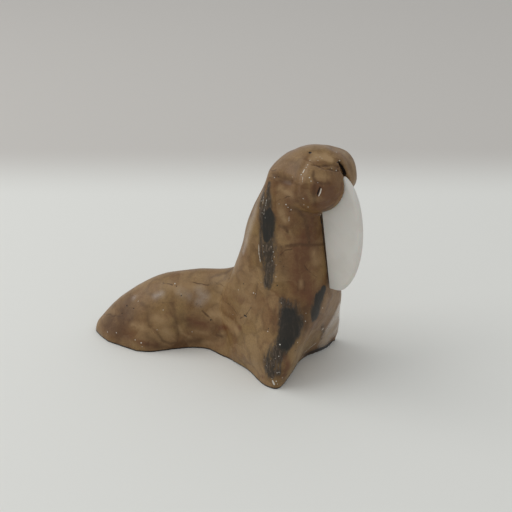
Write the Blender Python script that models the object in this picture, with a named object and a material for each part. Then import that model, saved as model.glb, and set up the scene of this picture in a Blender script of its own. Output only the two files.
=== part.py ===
"""A walrus carved from brown soapstone, sitting up with its tail swung to one side.

The stone is one piece. Torso, tail, head and whisker pads are roughed out as overlapping forms,
rubbed into each other, cut flat underneath and then given their carved lines. One thin white
plate, shaped as a curved tusk, stands in a slot between the whisker pads.

Metres. +X is where the chest faces, +Y is the walrus's left, +Z is up. The origin is on the flat
base, under the torso.
"""

import math

import bmesh
import bpy
import numpy as np
from mathutils import Matrix, Vector
from mathutils.bvhtree import BVHTree

# Fit between plate and slot, and how far the rough forms run on below the base
FIT_GAP = 0.0003
ROUGH_BELOW_BASE = 0.004

# Torso, as level sections from the base up. Each gives its height, how far forward the chest is,
# the corner over a front flipper (forward, out), the flank behind it (forward, out) and the back.
TORSO_SECTIONS = (
    (-ROUGH_BELOW_BASE, 0.0125, (0.0172, 0.0204), (-0.0090, 0.0084), -0.0140),
    (0.0000, 0.0140, (0.0176, 0.0206), (-0.0090, 0.0086), -0.0140),
    (0.0070, 0.0180, (0.0182, 0.0206), (-0.0088, 0.0094), -0.0140),
    (0.0140, 0.0215, (0.0190, 0.0198), (-0.0085, 0.0104), -0.0135),
    (0.0200, 0.0240, (0.0198, 0.0176), (-0.0080, 0.0114), -0.0125),
    (0.0270, 0.0254, (0.0198, 0.0148), (-0.0048, 0.0126), -0.0100),
    (0.0350, 0.0250, (0.0188, 0.0128), (-0.0012, 0.0132), -0.0075),
    (0.0430, 0.0240, (0.0180, 0.0114), (0.0014, 0.0128), -0.0046),
    (0.0520, 0.0227, (0.0174, 0.0106), (0.0038, 0.0124), -0.0016),
    (0.0600, 0.0222, (0.0180, 0.0106), (0.0060, 0.0125), 0.0014),
    (0.0660, 0.0225, (0.0185, 0.0100), (0.0082, 0.0122), 0.0040),
    (0.0705, 0.0225, (0.0190, 0.0084), (0.0100, 0.0110), 0.0062),
    (0.0740, 0.0225, (0.0200, 0.0060), (0.0130, 0.0084), 0.0098),
)

# Tail, as upright sections across its own line: distance back, sideways swing, half width, height
TAIL_SECTIONS = (
    (0.0000, 0.0010, 0.0110, 0.0300),
    (-0.0080, 0.0015, 0.0112, 0.0312),
    (-0.0140, 0.0012, 0.0112, 0.0280),
    (-0.0220, -0.0010, 0.0120, 0.0258),
    (-0.0330, -0.0075, 0.0142, 0.0233),
    (-0.0440, -0.0130, 0.0125, 0.0176),
    (-0.0530, -0.0165, 0.0080, 0.0106),
    (-0.0585, -0.0185, 0.0025, 0.0035),
)

# Head dome and whisker pads: centre (forward, out, up) and half sizes (deep, wide, high). The
# pads' fronts stop just short of the dome's.
HEAD_CENTRE = (0.0190, 0.0, 0.0664)
HEAD_HALF = (0.0120, 0.0128, 0.0107)
PAD_HALF = (0.0088, 0.0094, 0.0076)
PAD_FRONT = HEAD_CENTRE[0] + HEAD_HALF[0] - 0.0005
PAD_CENTRE = (PAD_FRONT - PAD_HALF[0], 0.0042, HEAD_CENTRE[2] + 0.0008)

# Rubbing the forms into each other
VOXEL = 0.0008
BLEND_PASSES = 11
TRIANGLES_KEPT = 0.17
RING_POINTS = 36
RINGS_BETWEEN_SECTIONS = 4

# Tusk plate: an upright half oval that stands out in front of the pads, a level cut below and a
# straight edge along the chest behind. The cut and the top end are angles round the oval.
TUSK_THICKNESS = 0.0030
TUSK_FRONT = PAD_FRONT + 0.0061
TUSK_HALF_DEPTH = 0.0092
TUSK_WIDEST_HEIGHT = HEAD_CENTRE[2] - 0.0169
TUSK_UPPER_HALF = 0.0202
TUSK_LOWER_HALF = 0.0197
TUSK_APEX_ANGLE = math.radians(76)
TUSK_BOTTOM_ANGLE = math.radians(-70.8)
TUSK_CHEST_GAP_BOTTOM = 0.0011
TUSK_CHEST_GAP_TOP = 0.0004
TUSK_CHEST_EDGE_TOP = TUSK_WIDEST_HEIGHT + 0.0065
TUSK_ROOT_BACK = PAD_CENTRE[0] + 0.0008
TUSK_ROOT_HEIGHT = HEAD_CENTRE[2]
TUSK_EDGE_ROUNDING = 0.0013

# Groove down the middle of the muzzle, above the plate
MUZZLE_GROOVE_CENTRE = (PAD_FRONT, 0.0, HEAD_CENTRE[2] + 0.0031)
MUZZLE_GROOVE_REACH = 0.0050
MUZZLE_GROOVE_HALF_WIDTH = 0.0012

# Crease round each cheek where the muzzle begins, as angles down from the top of the head
CREASE_FORWARD = HEAD_CENTRE[0] + 0.0017
CREASE_START = math.radians(34)
CREASE_END = math.radians(118)
CREASE_TOOL = 0.0013
CREASE_DEPTH = 0.0005

# Nose lines, cut level round the top of each pad: height above the middle of the head, nearest
# and farthest out
NOSE_LINES = ((0.0071, 0.0026, 0.0086), (0.0061, 0.0042, 0.0080))
NOSE_LINE_TOOL = 0.0005
NOSE_LINE_DEPTH = 0.0004

# Flat rubbed on each side of the brow: which way it faces, and how deep it goes
BROW_FLAT_FACING = (0.36, 0.28, 0.89)
BROW_FLAT_DEPTH = 0.0005

# Soft hollow in each cheek: forward, up, half sizes and depth
CHEEK_HOLLOW_PLACE = (HEAD_CENTRE[0] - 0.0032, HEAD_CENTRE[2] + 0.0026)
CHEEK_HOLLOW_HALF = (0.0036, 0.0016, 0.0015)
CHEEK_HOLLOW_DEPTH = 0.0004

# Single marks on the walrus's right side: a nick in the pad (out, up) and a pit for the eye
NICK_PLACE = (-0.0113, PAD_CENTRE[2])
NICK_HALF = (0.0011, 0.0006, 0.0018)
EYE_PLACE = (HEAD_CENTRE[0] + 0.0008, -0.0046)
EYE_RADIUS = 0.0005

REACH = 0.2

SIDES = ((-1, "right"), (1, "left"))

BROWN_STONE = ((0.165, 0.105, 0.060, 1.0), 0.42)
WHITE_STONE = ((0.560, 0.540, 0.500, 1.0), 0.50)


def clear_scene():
    for existing in list(bpy.data.objects):
        bpy.data.objects.remove(existing)


def material(name, finish):
    colour, roughness = finish
    made = bpy.data.materials.new(name)
    made.use_nodes = True
    shader = made.node_tree.nodes["Principled BSDF"]
    shader.inputs["Base Color"].default_value = colour
    shader.inputs["Roughness"].default_value = roughness
    shader.inputs["Metallic"].default_value = 0.0
    return made


def curve_point(a, b, c, d, t):
    """A value between b and c on the smooth curve through a, b, c and d."""
    return 0.5 * (
        2 * b
        + (c - a) * t
        + (2 * a - 5 * b + 4 * c - d) * t**2
        + (3 * b - a - 3 * c + d) * t**3
    )


def rows_between(sections, steps):
    """The sections with further rows between them on smooth curves."""
    rows = []
    last = len(sections) - 1
    for index in range(last):
        four = [sections[min(max(index + shift, 0), last)] for shift in (-1, 0, 1, 2)]
        for step in range(steps):
            rows.append(tuple(curve_point(*values, step / steps) for values in zip(*four)))
    rows.append(sections[-1])
    return rows


def loft(bm, rings):
    """Skins a run of closed rings with the same number of points, and caps both ends."""
    loops = []
    for ring in rings:
        verts = [bm.verts.new(point) for point in ring]
        loops.append([bm.edges.new(pair) for pair in zip(verts, verts[1:] + verts[:1])])
    for near, far in zip(loops, loops[1:]):
        bmesh.ops.bridge_loops(bm, edges=near + far)
    bmesh.ops.contextual_create(bm, geom=loops[0])
    bmesh.ops.contextual_create(bm, geom=loops[-1])


def torso_ring(height, chest, corner_x, corner_y, flank_x, flank_y, back):
    """A level ring: a smooth closed curve through the six points that a section gives."""
    points = [
        Vector((chest, 0, height)),
        Vector((corner_x, corner_y, height)),
        Vector((flank_x, flank_y, height)),
        Vector((back, 0, height)),
        Vector((flank_x, -flank_y, height)),
        Vector((corner_x, -corner_y, height)),
    ]
    count = len(points)
    steps = RING_POINTS // count
    ring = []
    for index in range(count):
        four = [points[(index + shift) % count] for shift in (-1, 0, 1, 2)]
        ring.extend(curve_point(*four, step / steps) for step in range(steps))
    return ring


def add_torso(bm):
    rows = []
    for height, chest, corner, flank, back in TORSO_SECTIONS:
        rows.append((height, chest, *corner, *flank, back))
    loft(bm, [torso_ring(*row) for row in rows_between(rows, RINGS_BETWEEN_SECTIONS)])


def tail_ring(middle, across, half_width, height):
    """An upright ring: half an oval on top, running straight down below the base."""
    ring = []
    half = RING_POINTS // 2
    for index in range(half + 1):
        angle = math.pi * index / half
        side = across * half_width * math.cos(angle)
        ring.append(middle + side + Vector((0, 0, height * math.sin(angle))))
    for side in (-0.9, 0.9):
        ring.append(middle + across * half_width * side - Vector((0, 0, ROUGH_BELOW_BASE)))
    return ring


def add_tail(bm):
    rows = rows_between(TAIL_SECTIONS, RINGS_BETWEEN_SECTIONS)
    last = len(rows) - 1
    rings = []
    for index, (back, swing, half_width, height) in enumerate(rows):
        before = rows[max(index - 1, 0)]
        after = rows[min(index + 1, last)]
        along = Vector((after[0] - before[0], after[1] - before[1], 0)).normalized()
        across = Vector((-along.y, along.x, 0))
        rings.append(tail_ring(Vector((back, swing, 0)), across, half_width, height))
    loft(bm, rings)


def add_ellipsoid(bm, centre, half_sizes, detail=4):
    place = Matrix.Translation(centre) @ Matrix.Diagonal((*half_sizes, 1))
    bmesh.ops.create_icosphere(bm, subdivisions=detail, radius=1, matrix=place)


def add_tube(bm, path, radius):
    """A round tube along a path, with flat ends."""
    rings = []
    last = len(path) - 1
    for index, middle in enumerate(path):
        along = (path[min(index + 1, last)] - path[max(index - 1, 0)]).normalized()
        turn = along.to_track_quat("Z", "Y")
        ring = []
        for point in range(10):
            angle = math.tau * point / 10
            ring.append(middle + turn @ Vector((radius * math.cos(angle), radius * math.sin(angle), 0)))
        rings.append(ring)
    loft(bm, rings)


def new_object(name, bm, made_material=None):
    bmesh.ops.recalc_face_normals(bm, faces=bm.faces)
    mesh = bpy.data.meshes.new(name)
    bm.to_mesh(mesh)
    bm.free()
    made = bpy.data.objects.new(name, mesh)
    bpy.context.scene.collection.objects.link(made)
    if made_material:
        mesh.materials.append(made_material)
    return made


def cut(body, name, bm):
    """Cuts away a tool shape from the stone."""
    tool = new_object(name, bm)
    tool.hide_render = True
    tool.display_type = "WIRE"
    difference = body.modifiers.new(name, "BOOLEAN")
    difference.operation = "DIFFERENCE"
    difference.object = tool
    difference.solver = "EXACT"


def mirrored(values, side):
    return (values[0], side * values[1], values[2])


def skin_of(body):
    """The stone as cut so far, for finding where a tool meets it."""
    return BVHTree.FromObject(body, bpy.context.evaluated_depsgraph_get())


def touch(skin, aim, coming_from):
    """Where a tool that comes in towards a point meets the stone, and the way out from there."""
    outward = Vector(coming_from).normalized()
    place, normal, _, _ = skin.ray_cast(Vector(aim) + outward * REACH, -outward)
    return (place, normal) if place else (Vector(aim), outward)


def cut_line(body, name, skin, aims, tool, depth):
    """Draws a round tool along the stone, easing it in at one end and out at the other.

    Each aim is a point and the way the tool comes in towards it.
    """
    path = []
    for index, (aim, coming_from) in enumerate(aims):
        place, normal = touch(skin, aim, coming_from)
        pressed = depth * math.sin(math.pi * index / (len(aims) - 1)) ** 0.5
        path.append(place + normal * (tool - pressed))
    bm = bmesh.new()
    add_tube(bm, path, tool)
    cut(body, name, bm)


def cut_base(body):
    bm = bmesh.new()
    bmesh.ops.create_cube(bm, size=1)
    bmesh.ops.scale(bm, verts=bm.verts, vec=(0.3, 0.3, 0.05))
    bmesh.ops.translate(bm, verts=bm.verts, vec=(0, 0, -0.025))
    cut(body, "base_cut", bm)


def cut_brow_flats(body):
    for side, name in SIDES:
        normal = Vector(mirrored(BROW_FLAT_FACING, side)).normalized()
        reach = math.sqrt(sum((size * part) ** 2 for size, part in zip(HEAD_HALF, normal)))
        size = 0.02
        turn = normal.to_track_quat("Z", "Y").to_matrix().to_4x4()
        middle = Vector(HEAD_CENTRE) + normal * (reach - BROW_FLAT_DEPTH + size / 2)
        bm = bmesh.new()
        bmesh.ops.create_cube(bm, size=size, matrix=Matrix.Translation(middle) @ turn)
        cut(body, f"{name}_brow_flat", bm)


def cut_creases(body, skin):
    steps = 16
    for side, name in SIDES:
        aims = []
        for step in range(steps + 1):
            angle = CREASE_START + (CREASE_END - CREASE_START) * step / steps
            outward = (0, side * math.sin(angle), math.cos(angle))
            aims.append(((CREASE_FORWARD, 0, HEAD_CENTRE[2]), outward))
        cut_line(body, f"{name}_crease", skin, aims, CREASE_TOOL, CREASE_DEPTH)


def cut_nose_lines(body, skin):
    steps = 8
    for line, (height, near, far) in enumerate(NOSE_LINES):
        for side, name in SIDES:
            aims = []
            for step in range(steps + 1):
                out = side * (near + (far - near) * step / steps)
                aims.append(((0, out, HEAD_CENTRE[2] + height), (1, 0, 0)))
            label = f"{name}_nose_line_{line + 1}"
            cut_line(body, label, skin, aims, NOSE_LINE_TOOL, NOSE_LINE_DEPTH)


def cut_muzzle_groove(body):
    bm = bmesh.new()
    reach = MUZZLE_GROOVE_REACH
    add_ellipsoid(bm, MUZZLE_GROOVE_CENTRE, (reach, MUZZLE_GROOVE_HALF_WIDTH, reach), detail=3)
    cut(body, "muzzle_groove", bm)


def cut_cheek_hollows(body, skin):
    forward, height = CHEEK_HOLLOW_PLACE
    for side, name in SIDES:
        place, normal = touch(skin, (forward, 0, height), (0, side, 0))
        bm = bmesh.new()
        middle = place + normal * (CHEEK_HOLLOW_HALF[1] - CHEEK_HOLLOW_DEPTH)
        add_ellipsoid(bm, middle, CHEEK_HOLLOW_HALF, detail=3)
        cut(body, f"{name}_cheek_hollow", bm)


def cut_marks(body, skin):
    nick = bmesh.new()
    add_ellipsoid(nick, touch(skin, (0, *NICK_PLACE), (1, 0, 0))[0], NICK_HALF, detail=2)
    cut(body, "pad_nick", nick)
    eye = bmesh.new()
    add_ellipsoid(eye, touch(skin, (*EYE_PLACE, 0), (0, 0, 1))[0], (EYE_RADIUS,) * 3, detail=2)
    cut(body, "eye_pit", eye)


def chest_at(height):
    """How far forward the chest is at a height."""
    heights = [section[0] for section in TORSO_SECTIONS]
    return float(np.interp(height, heights, [section[1] for section in TORSO_SECTIONS]))


def tusk_outline(grow=0.0):
    """The plate's outline in the plane of symmetry, as (forward, height) pairs."""
    middle = TUSK_FRONT - TUSK_HALF_DEPTH
    points = []
    steps = 26
    for index in range(steps + 1):
        angle = TUSK_APEX_ANGLE + (TUSK_BOTTOM_ANGLE - TUSK_APEX_ANGLE) * index / steps
        half = TUSK_UPPER_HALF if angle > 0 else TUSK_LOWER_HALF
        forward = middle + (TUSK_HALF_DEPTH + grow) * math.cos(angle)
        points.append((forward, TUSK_WIDEST_HEIGHT + (half + grow) * math.sin(angle)))
    bottom = TUSK_WIDEST_HEIGHT + TUSK_LOWER_HALF * math.sin(TUSK_BOTTOM_ANGLE)
    points.append((chest_at(bottom) + TUSK_CHEST_GAP_BOTTOM - grow, points[-1][1]))
    top = TUSK_CHEST_EDGE_TOP
    points.append((chest_at(top) + TUSK_CHEST_GAP_TOP - grow, top))
    points.append((TUSK_ROOT_BACK - grow, TUSK_ROOT_HEIGHT + grow))
    return points


def tusk_plate(grow=0.0):
    bm = bmesh.new()
    thickness = TUSK_THICKNESS + 2 * grow
    face = bm.faces.new([bm.verts.new((x, -thickness / 2, z)) for x, z in tusk_outline(grow)])
    pushed = bmesh.ops.extrude_face_region(bm, geom=[face])
    moved = [item for item in pushed["geom"] if isinstance(item, bmesh.types.BMVert)]
    bmesh.ops.translate(bm, verts=moved, vec=(0, thickness, 0))
    return bm


def build_tusk():
    """The plate, with the two long edges of its curved front rounded over."""
    bm = tusk_plate()
    middle = TUSK_FRONT - TUSK_HALF_DEPTH
    rounded = []
    for edge in bm.edges:
        start, end = (vert.co for vert in edge.verts)
        if abs(start.y - end.y) < 1e-6 and min(start.x, end.x) > middle:
            rounded.append(edge)
    bmesh.ops.bevel(
        bm, geom=rounded, offset=TUSK_EDGE_ROUNDING, segments=4, profile=0.5, affect="EDGES"
    )
    new_object("tusk_plate", bm, material("white_stone", WHITE_STONE))


def build_body():
    bm = bmesh.new()
    add_torso(bm)
    add_tail(bm)
    add_ellipsoid(bm, HEAD_CENTRE, HEAD_HALF)
    for side in (-1, 1):
        add_ellipsoid(bm, mirrored(PAD_CENTRE, side), PAD_HALF)
    body = new_object("walrus_body", bm, material("brown_stone", BROWN_STONE))
    blend = body.modifiers.new("blend_forms", "REMESH")
    blend.mode = "VOXEL"
    blend.voxel_size = VOXEL
    rub = body.modifiers.new("rub_smooth", "SMOOTH")
    rub.factor = 0.5
    rub.iterations = BLEND_PASSES
    thin = body.modifiers.new("fewer_faces", "DECIMATE")
    thin.ratio = TRIANGLES_KEPT
    cut_base(body)
    cut_brow_flats(body)
    skin = skin_of(body)
    cut_creases(body, skin)
    cut_nose_lines(body, skin)
    cut_cheek_hollows(body, skin)
    cut_marks(body, skin)
    cut_muzzle_groove(body)
    cut(body, "tusk_slot", tusk_plate(FIT_GAP))


def main():
    clear_scene()
    build_body()
    build_tusk()


main()
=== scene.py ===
"""Dresses the stone walrus: the carved brown stone, its white tusk plate, and a small studio.

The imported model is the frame. The stone and the plate are finer copies of the frame's two nodes,
with the carving, cracks, chips and dark mineral of the real stone worked into them. Metres.
Marks are placed by what the camera sees: across and down in its square picture of 512 points.
"""

import logging
import math
import random
from dataclasses import dataclass, field
from enum import Enum

import bmesh
import bpy
import numpy as np
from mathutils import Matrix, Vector, noise
from mathutils.bvhtree import BVHTree


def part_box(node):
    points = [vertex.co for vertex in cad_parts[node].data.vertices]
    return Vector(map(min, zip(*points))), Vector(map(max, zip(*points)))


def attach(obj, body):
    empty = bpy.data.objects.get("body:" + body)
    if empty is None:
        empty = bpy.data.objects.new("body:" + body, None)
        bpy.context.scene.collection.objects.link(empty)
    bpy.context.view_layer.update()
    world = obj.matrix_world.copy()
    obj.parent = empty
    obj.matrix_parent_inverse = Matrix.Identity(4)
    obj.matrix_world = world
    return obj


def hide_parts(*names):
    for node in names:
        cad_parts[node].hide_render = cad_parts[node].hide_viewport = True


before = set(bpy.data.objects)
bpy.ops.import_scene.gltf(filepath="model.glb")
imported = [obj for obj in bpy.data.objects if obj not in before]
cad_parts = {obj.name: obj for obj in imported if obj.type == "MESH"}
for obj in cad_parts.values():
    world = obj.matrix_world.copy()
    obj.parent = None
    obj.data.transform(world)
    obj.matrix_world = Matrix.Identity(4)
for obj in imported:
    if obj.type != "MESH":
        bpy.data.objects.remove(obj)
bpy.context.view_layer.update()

log = logging.getLogger("walrus")

MM = 0.001
PICTURE = 512
COARSE_REACH = 1.3
FINE_REACH = 0.55
SAME_PLACE = 0.001 * MM

Colour = tuple[float, float, float]
Place = tuple[float, float, float]


class Layer(Enum):
    """What a mark leaves on the stone, or the light and shade painted with it, kept as one value at
    each point of its mesh.
    """

    DARK = "dark_mineral"
    # Paler tone of the stone, and also painted light on lit faces: the brow, the top of the pad,
    # the chest under the plate and the back of the neck.
    PALE = "pale_bloom"
    # Red-brown stain of the stone, and also painted shade with red tone on the front and rim of the
    # pad.
    RUDDY = "ruddy_stain"
    # Darker umber tone of the stone, and also painted shade in hollows, creases, undercuts and on
    # faces turned from the light.
    SHADE = "umber_shade"
    # Painted sheen and reflection on the nape and the far flipper's face, and pale blooms on the
    # tail.
    DUST = "pale_dust"
    WORN = "worn_mineral"
    CRACK = "hairline"
    # Bare stone where chipped, and also painted highlights on the nick's lit wall, the chest's
    # lower edge and a ridge of the neck.
    CHIP = "bare_chip"
    # Near-black pits and dark joints, and also painted shadow in the nick, the muzzle groove and
    # under the far toe.
    PIT_AND_SHADOW = "open_pit"


class Grain(Enum):
    """How finely the mesh is divided round a mark."""

    COARSE = 0
    FINE = 1
    FINEST = 2


@dataclass(frozen=True)
class Mark:
    """One mark on the stone.

    Each place on its path is how far across and down the camera's picture it is, and how far
    the mark reaches from there in millimetres. The depth, in millimetres, is pressed in.
    """

    name: str
    layer: Layer
    path: tuple[Place, ...]
    strength: float = 1.0
    depth: float = 0.0

    def grain(self) -> Grain:
        """How fine a mesh the mark needs."""
        reach = max(place[2] for place in self.path)
        if reach > COARSE_REACH:
            return Grain.COARSE
        return Grain.FINE if reach > FINE_REACH else Grain.FINEST


@dataclass(frozen=True)
class Flat:
    """A flat that the carver rubbed.

    It is found at a place across and down the camera's picture. It faces a given way, and goes
    in by a depth within a reach of that place, both in millimetres.
    """

    name: str
    place: tuple[float, float]
    facing: tuple[float, float, float]
    depth: float
    reach: float


@dataclass(frozen=True)
class Pull:
    """A part that is a little fuller or slimmer than the plain form.

    All that lies at a place across and down the camera's picture goes by a step across and
    down it, less and less towards a reach, all in the picture's points. A step on the floor
    goes along the floor.
    """

    name: str
    place: tuple[float, float]
    step: tuple[float, float]
    reach: float
    on_floor: bool = False


@dataclass(frozen=True)
class Scatter:
    """Marks of chance on the sides that the camera doesn't see, with sizes in millimetres.

    Upright ones run up the stone, and the others run any way.
    """

    name: str
    layer: Layer
    count: int
    reach: float
    length: float = 0.0
    strength: float = 1.0
    depth: float = 0.0
    upright: bool = False


def dots(name: str, layer: Layer, places: tuple[Place, ...], **how: float) -> tuple[Mark, ...]:
    """Makes one small mark at each place.

    Args:
        name: What the marks are.
        layer: What they leave on the stone.
        places: Across, down and reach of each.
        how: The strength and depth that they share.

    Returns:
        The marks.
    """
    return tuple(Mark(f"{name} {i + 1}", layer, (place,), **how) for i, place in enumerate(places))


def strokes(layer: Layer, rows: tuple[tuple, ...]) -> tuple[Mark, ...]:
    """Makes one mark of each row.

    Args:
        layer: What they leave on the stone.
        rows: The name, the strength and then the path of each.

    Returns:
        The marks.
    """
    return tuple(Mark(name, layer, tuple(path), strength) for name, strength, *path in rows)


PULLS = (
    Pull("tail's near edge", (127, 347.5), (0.0, 1.7), 36, True),
    Pull("hollow of the tail's edge", (183, 352), (0.0, -3.4), 36, True),
    Pull("before the near flipper", (226, 354.5), (0.0, 2.8), 19, True),
    Pull("near flipper's rear edge", (249, 373), (0.8, -1.6), 17, True),
    Pull("near flipper's front edge", (291, 366), (2.6, 0.5), 24, True),
    Pull("tail's tip from above", (106, 309), (1.3, 0.9), 24),
    Pull("top of the haunch", (154, 276), (-0.3, -1.7), 36),
    Pull("small of the back", (226, 265), (0.0, 2.2), 28),
    Pull("nape", (262, 186), (1.8, 0.2), 20),
    Pull("back of the neck", (249, 221), (-1.9, -0.3), 28),
    Pull("far brow", (344, 152), (1.5, -2.9), 27),
    Pull("far pad's end", (356, 182), (1.0, 1.6), 14),
    Pull("muzzle groove", (341.5, 167), (-1.8, 0.0), 11),
    Pull("far foot", (341, 306), (-2.0, 0.0), 18),
    Pull("far toe's corner", (336, 343), (-0.8, -1.4), 12, True),
    Pull("far toe's lower edge", (319, 351), (0.4, 0.8), 18, True),
)

FLATS = (
    Flat("far half of the chest's foot", (333, 319), (0.93, -0.02, -0.36), 0.25, 9.0),
    Flat("brow", (323, 157), (0.30, -0.38, 0.87), 0.12, 4.5),
    Flat("top of the pad", (323, 177), (0.50, -0.52, 0.69), 0.28, 3.4),
    Flat("front of the pad", (329, 194), (0.93, -0.34, -0.12), 0.32, 5.0),
    Flat("side of the pad", (307, 192), (0.18, -0.97, 0.10), 0.15, 4.5),
)

HEAD_MARKS = (
    *strokes(Layer.SHADE, (
        ("between the nose lines", 0.4, (313, 165, 0.8), (324, 167, 0.8), (338, 168.4, 0.9)),
        # Painted shade in the crease between cheek and pad.
        ("muzzle crease", 0.28, (310, 161, 0.8), (303, 171, 0.9), (297, 185, 0.9), (296, 195, 0.9),
         (299, 205, 1.1), (310, 211, 1.0)),
        # Painted shade on the pad's front, which turns from the light.
        ("pad's dark front", 0.48, (320, 187, 3.4), (329, 191, 5.0), (331, 199, 5.0),
         (325, 203, 4.8), (317, 208, 3.0)),
        # Painted shade in the hollow behind the cheek.
        ("middle of the hollow", 0.8, (279, 176.6, 1.0), (290, 182, 1.1)),
        ("olive crown", 0.42, (284, 160, 5.0), (290, 168, 4.6), (300, 166, 3.6)),
        ("shaded far brow", 0.4, (345, 158, 2.2), (350, 167, 2.4), (353, 177, 2.0)),
        ("shade at the pad's end", 0.9, (322, 211, 1.0), (332, 205.4, 1.2)),
    )),
    *strokes(Layer.RUDDY, (
        # Partly the pad's red tone, partly painted shade on its front, which turns from the light.
        ("pad's red front", 1.25, (318, 188, 3.4), (328, 192, 5.8), (332, 199, 5.4),
         (321, 206, 4.6)),
        # Red tone and painted shade on the pad's rim, darkening light that the plate and floor
        # throw onto it.
        ("pad's red rim", 1.0, (342, 184, 1.2), (339.6, 195, 1.6), (333, 204.6, 1.8),
         (324, 210.4, 1.6)),
        ("warm side of the head", 0.52, (284, 182, 7.0), (288, 204, 8.0), (286, 228, 8.0)),
        ("warm pad", 0.34, (303, 184, 4.0), (306, 200, 4.4)),
        ("below the cranny", 0.6, (300, 213, 1.6), (312, 218, 2.2)),
    )),
    *strokes(Layer.CHIP, (
        # Painted highlight on the nick's lit wall.
        ("nick's bare wall", 1.0, (321.2, 189, 0.26), (320.4, 192.5, 0.36), (318.8, 196, 0.28)),
        ("scuff before the crease", 1.0, (304.2, 169.6, 0.32), (302.8, 172.2, 0.34)),
        ("streak beside the crease", 0.75, (302.5, 177, 0.22), (302.5, 182, 0.22)),
    )),
    *strokes(Layer.CRACK, (
        ("line behind the cheek", 0.8, (271, 170, 0.5), (276, 170, 0.5)),
        ("line at the cheek", 0.8, (271, 177, 0.5), (275, 176, 0.5)),
    )),
    *strokes(Layer.PALE, (
        ("light cheek", 0.75, (280, 189, 2.2), (290, 194, 2.4)),
        ("lit brow", 1.3, (312.4, 158.6, 1.8), (317, 155.6, 2.6), (324, 156, 2.4),
         (331, 159.4, 1.5)),
        ("lit top of the pad", 0.5, (319, 176.6, 1.8), (329, 177.6, 2.0)),
    )),
    *strokes(Layer.PIT_AND_SHADOW, (
        ("pad's end at the plate", 0.9, (323.4, 211.6, 0.36), (328.4, 210, 0.42),
         (333, 207.4, 0.46)),
        ("joint at the chest's top", 1.25, (321, 215.6, 0.5), (321.8, 223, 0.46)),
        ("joint down the chest", 0.9, (322.2, 222, 0.40), (324.4, 246, 0.36), (327.0, 266, 0.40),
         (329.0, 283, 0.40)),
    )),
    Mark("eye pit", Layer.PIT_AND_SHADOW, ((310, 152, 0.78),), strength=1.3, depth=0.4),
    Mark("upper nose line", Layer.CRACK, ((312.4, 164.6, 0.6), (318, 165.4, 0.8),
         (328, 165.4, 0.85), (338.6, 166, 0.7)), depth=0.30),
    Mark("lower nose line", Layer.CRACK, ((319.8, 166.6, 0.5), (325, 168.9, 0.7),
         (331, 169.6, 0.7), (338.6, 170.6, 0.6)), depth=0.25),
    # Painted shade below the edge of the pad's top and on the pad's facet that turns from the
    # light.
    Mark("edge of the pad's top", Layer.SHADE, ((313.6, 171, 0.8), (313.4, 177, 1.0),
         (316.6, 182, 1.1), (323, 184, 1.0), (330, 183.6, 0.9)), strength=1.0, depth=0.15),
    Mark("pad wedge", Layer.SHADE, ((315, 185, 1.1), (314, 194, 1.4), (315, 205, 1.2)),
         strength=0.9, depth=0.12),
    # The nick is pressed in, and its dark side is painted shadow.
    Mark("nick", Layer.PIT_AND_SHADOW, ((320.2, 187.4, 0.30), (318.8, 191, 0.42), (317.4, 195.4, 0.32)),
         depth=0.30),
    # Painted shade in the shallow hollow behind the cheek, which is also pressed in.
    Mark("cheek hollow", Layer.SHADE, ((273, 174.6, 2.0), (283, 178.6, 2.6),
         (290.4, 181.4, 2.2)), strength=0.95, depth=0.22),
    # Painted shade in the hollow under the pad.
    Mark("cranny under the pad", Layer.SHADE, ((294, 206.6, 1.0), (301, 210.8, 1.0),
         (312, 214, 0.9)), strength=0.75, depth=0.1),
    # Painted shade in the groove between the pads, which is also pressed in.
    Mark("muzzle groove", Layer.PIT_AND_SHADOW, ((337.6, 162.2, 0.4), (339.2, 164, 0.5),
         (340.8, 166, 0.9), (342, 168, 1.1), (343, 170, 1.2), (343.8, 172, 1.2),
         (344.6, 174.6, 0.8)), depth=0.12),
    *dots("head chip", Layer.CHIP, (
        (310, 160, 0.28), (307.5, 164.6, 0.32), (306, 167, 0.26), (301, 174.4, 0.32),
        (309.4, 177.4, 0.34), (311, 181, 0.28), (339.6, 161, 0.5), (336.5, 151.5, 0.3),
        (332, 168, 0.22), (337, 170, 0.32), (303, 199, 0.36), (303.7, 205, 0.26),
        (308, 207.4, 0.36), (320.8, 214.6, 0.38), (316, 157, 0.2), (320, 156.5, 0.22),
        (322, 158, 0.2), (318, 160, 0.22), (274, 177.5, 0.26), (292, 177, 0.24),
        (318, 182.5, 0.22)), depth=0.05),
    *dots("head pit", Layer.PIT_AND_SHADOW, ((319, 215.6, 0.3), (322.3, 216.4, 0.3),
          (346, 174, 0.3), (278, 177, 0.3)), depth=0.12),
)

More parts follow.
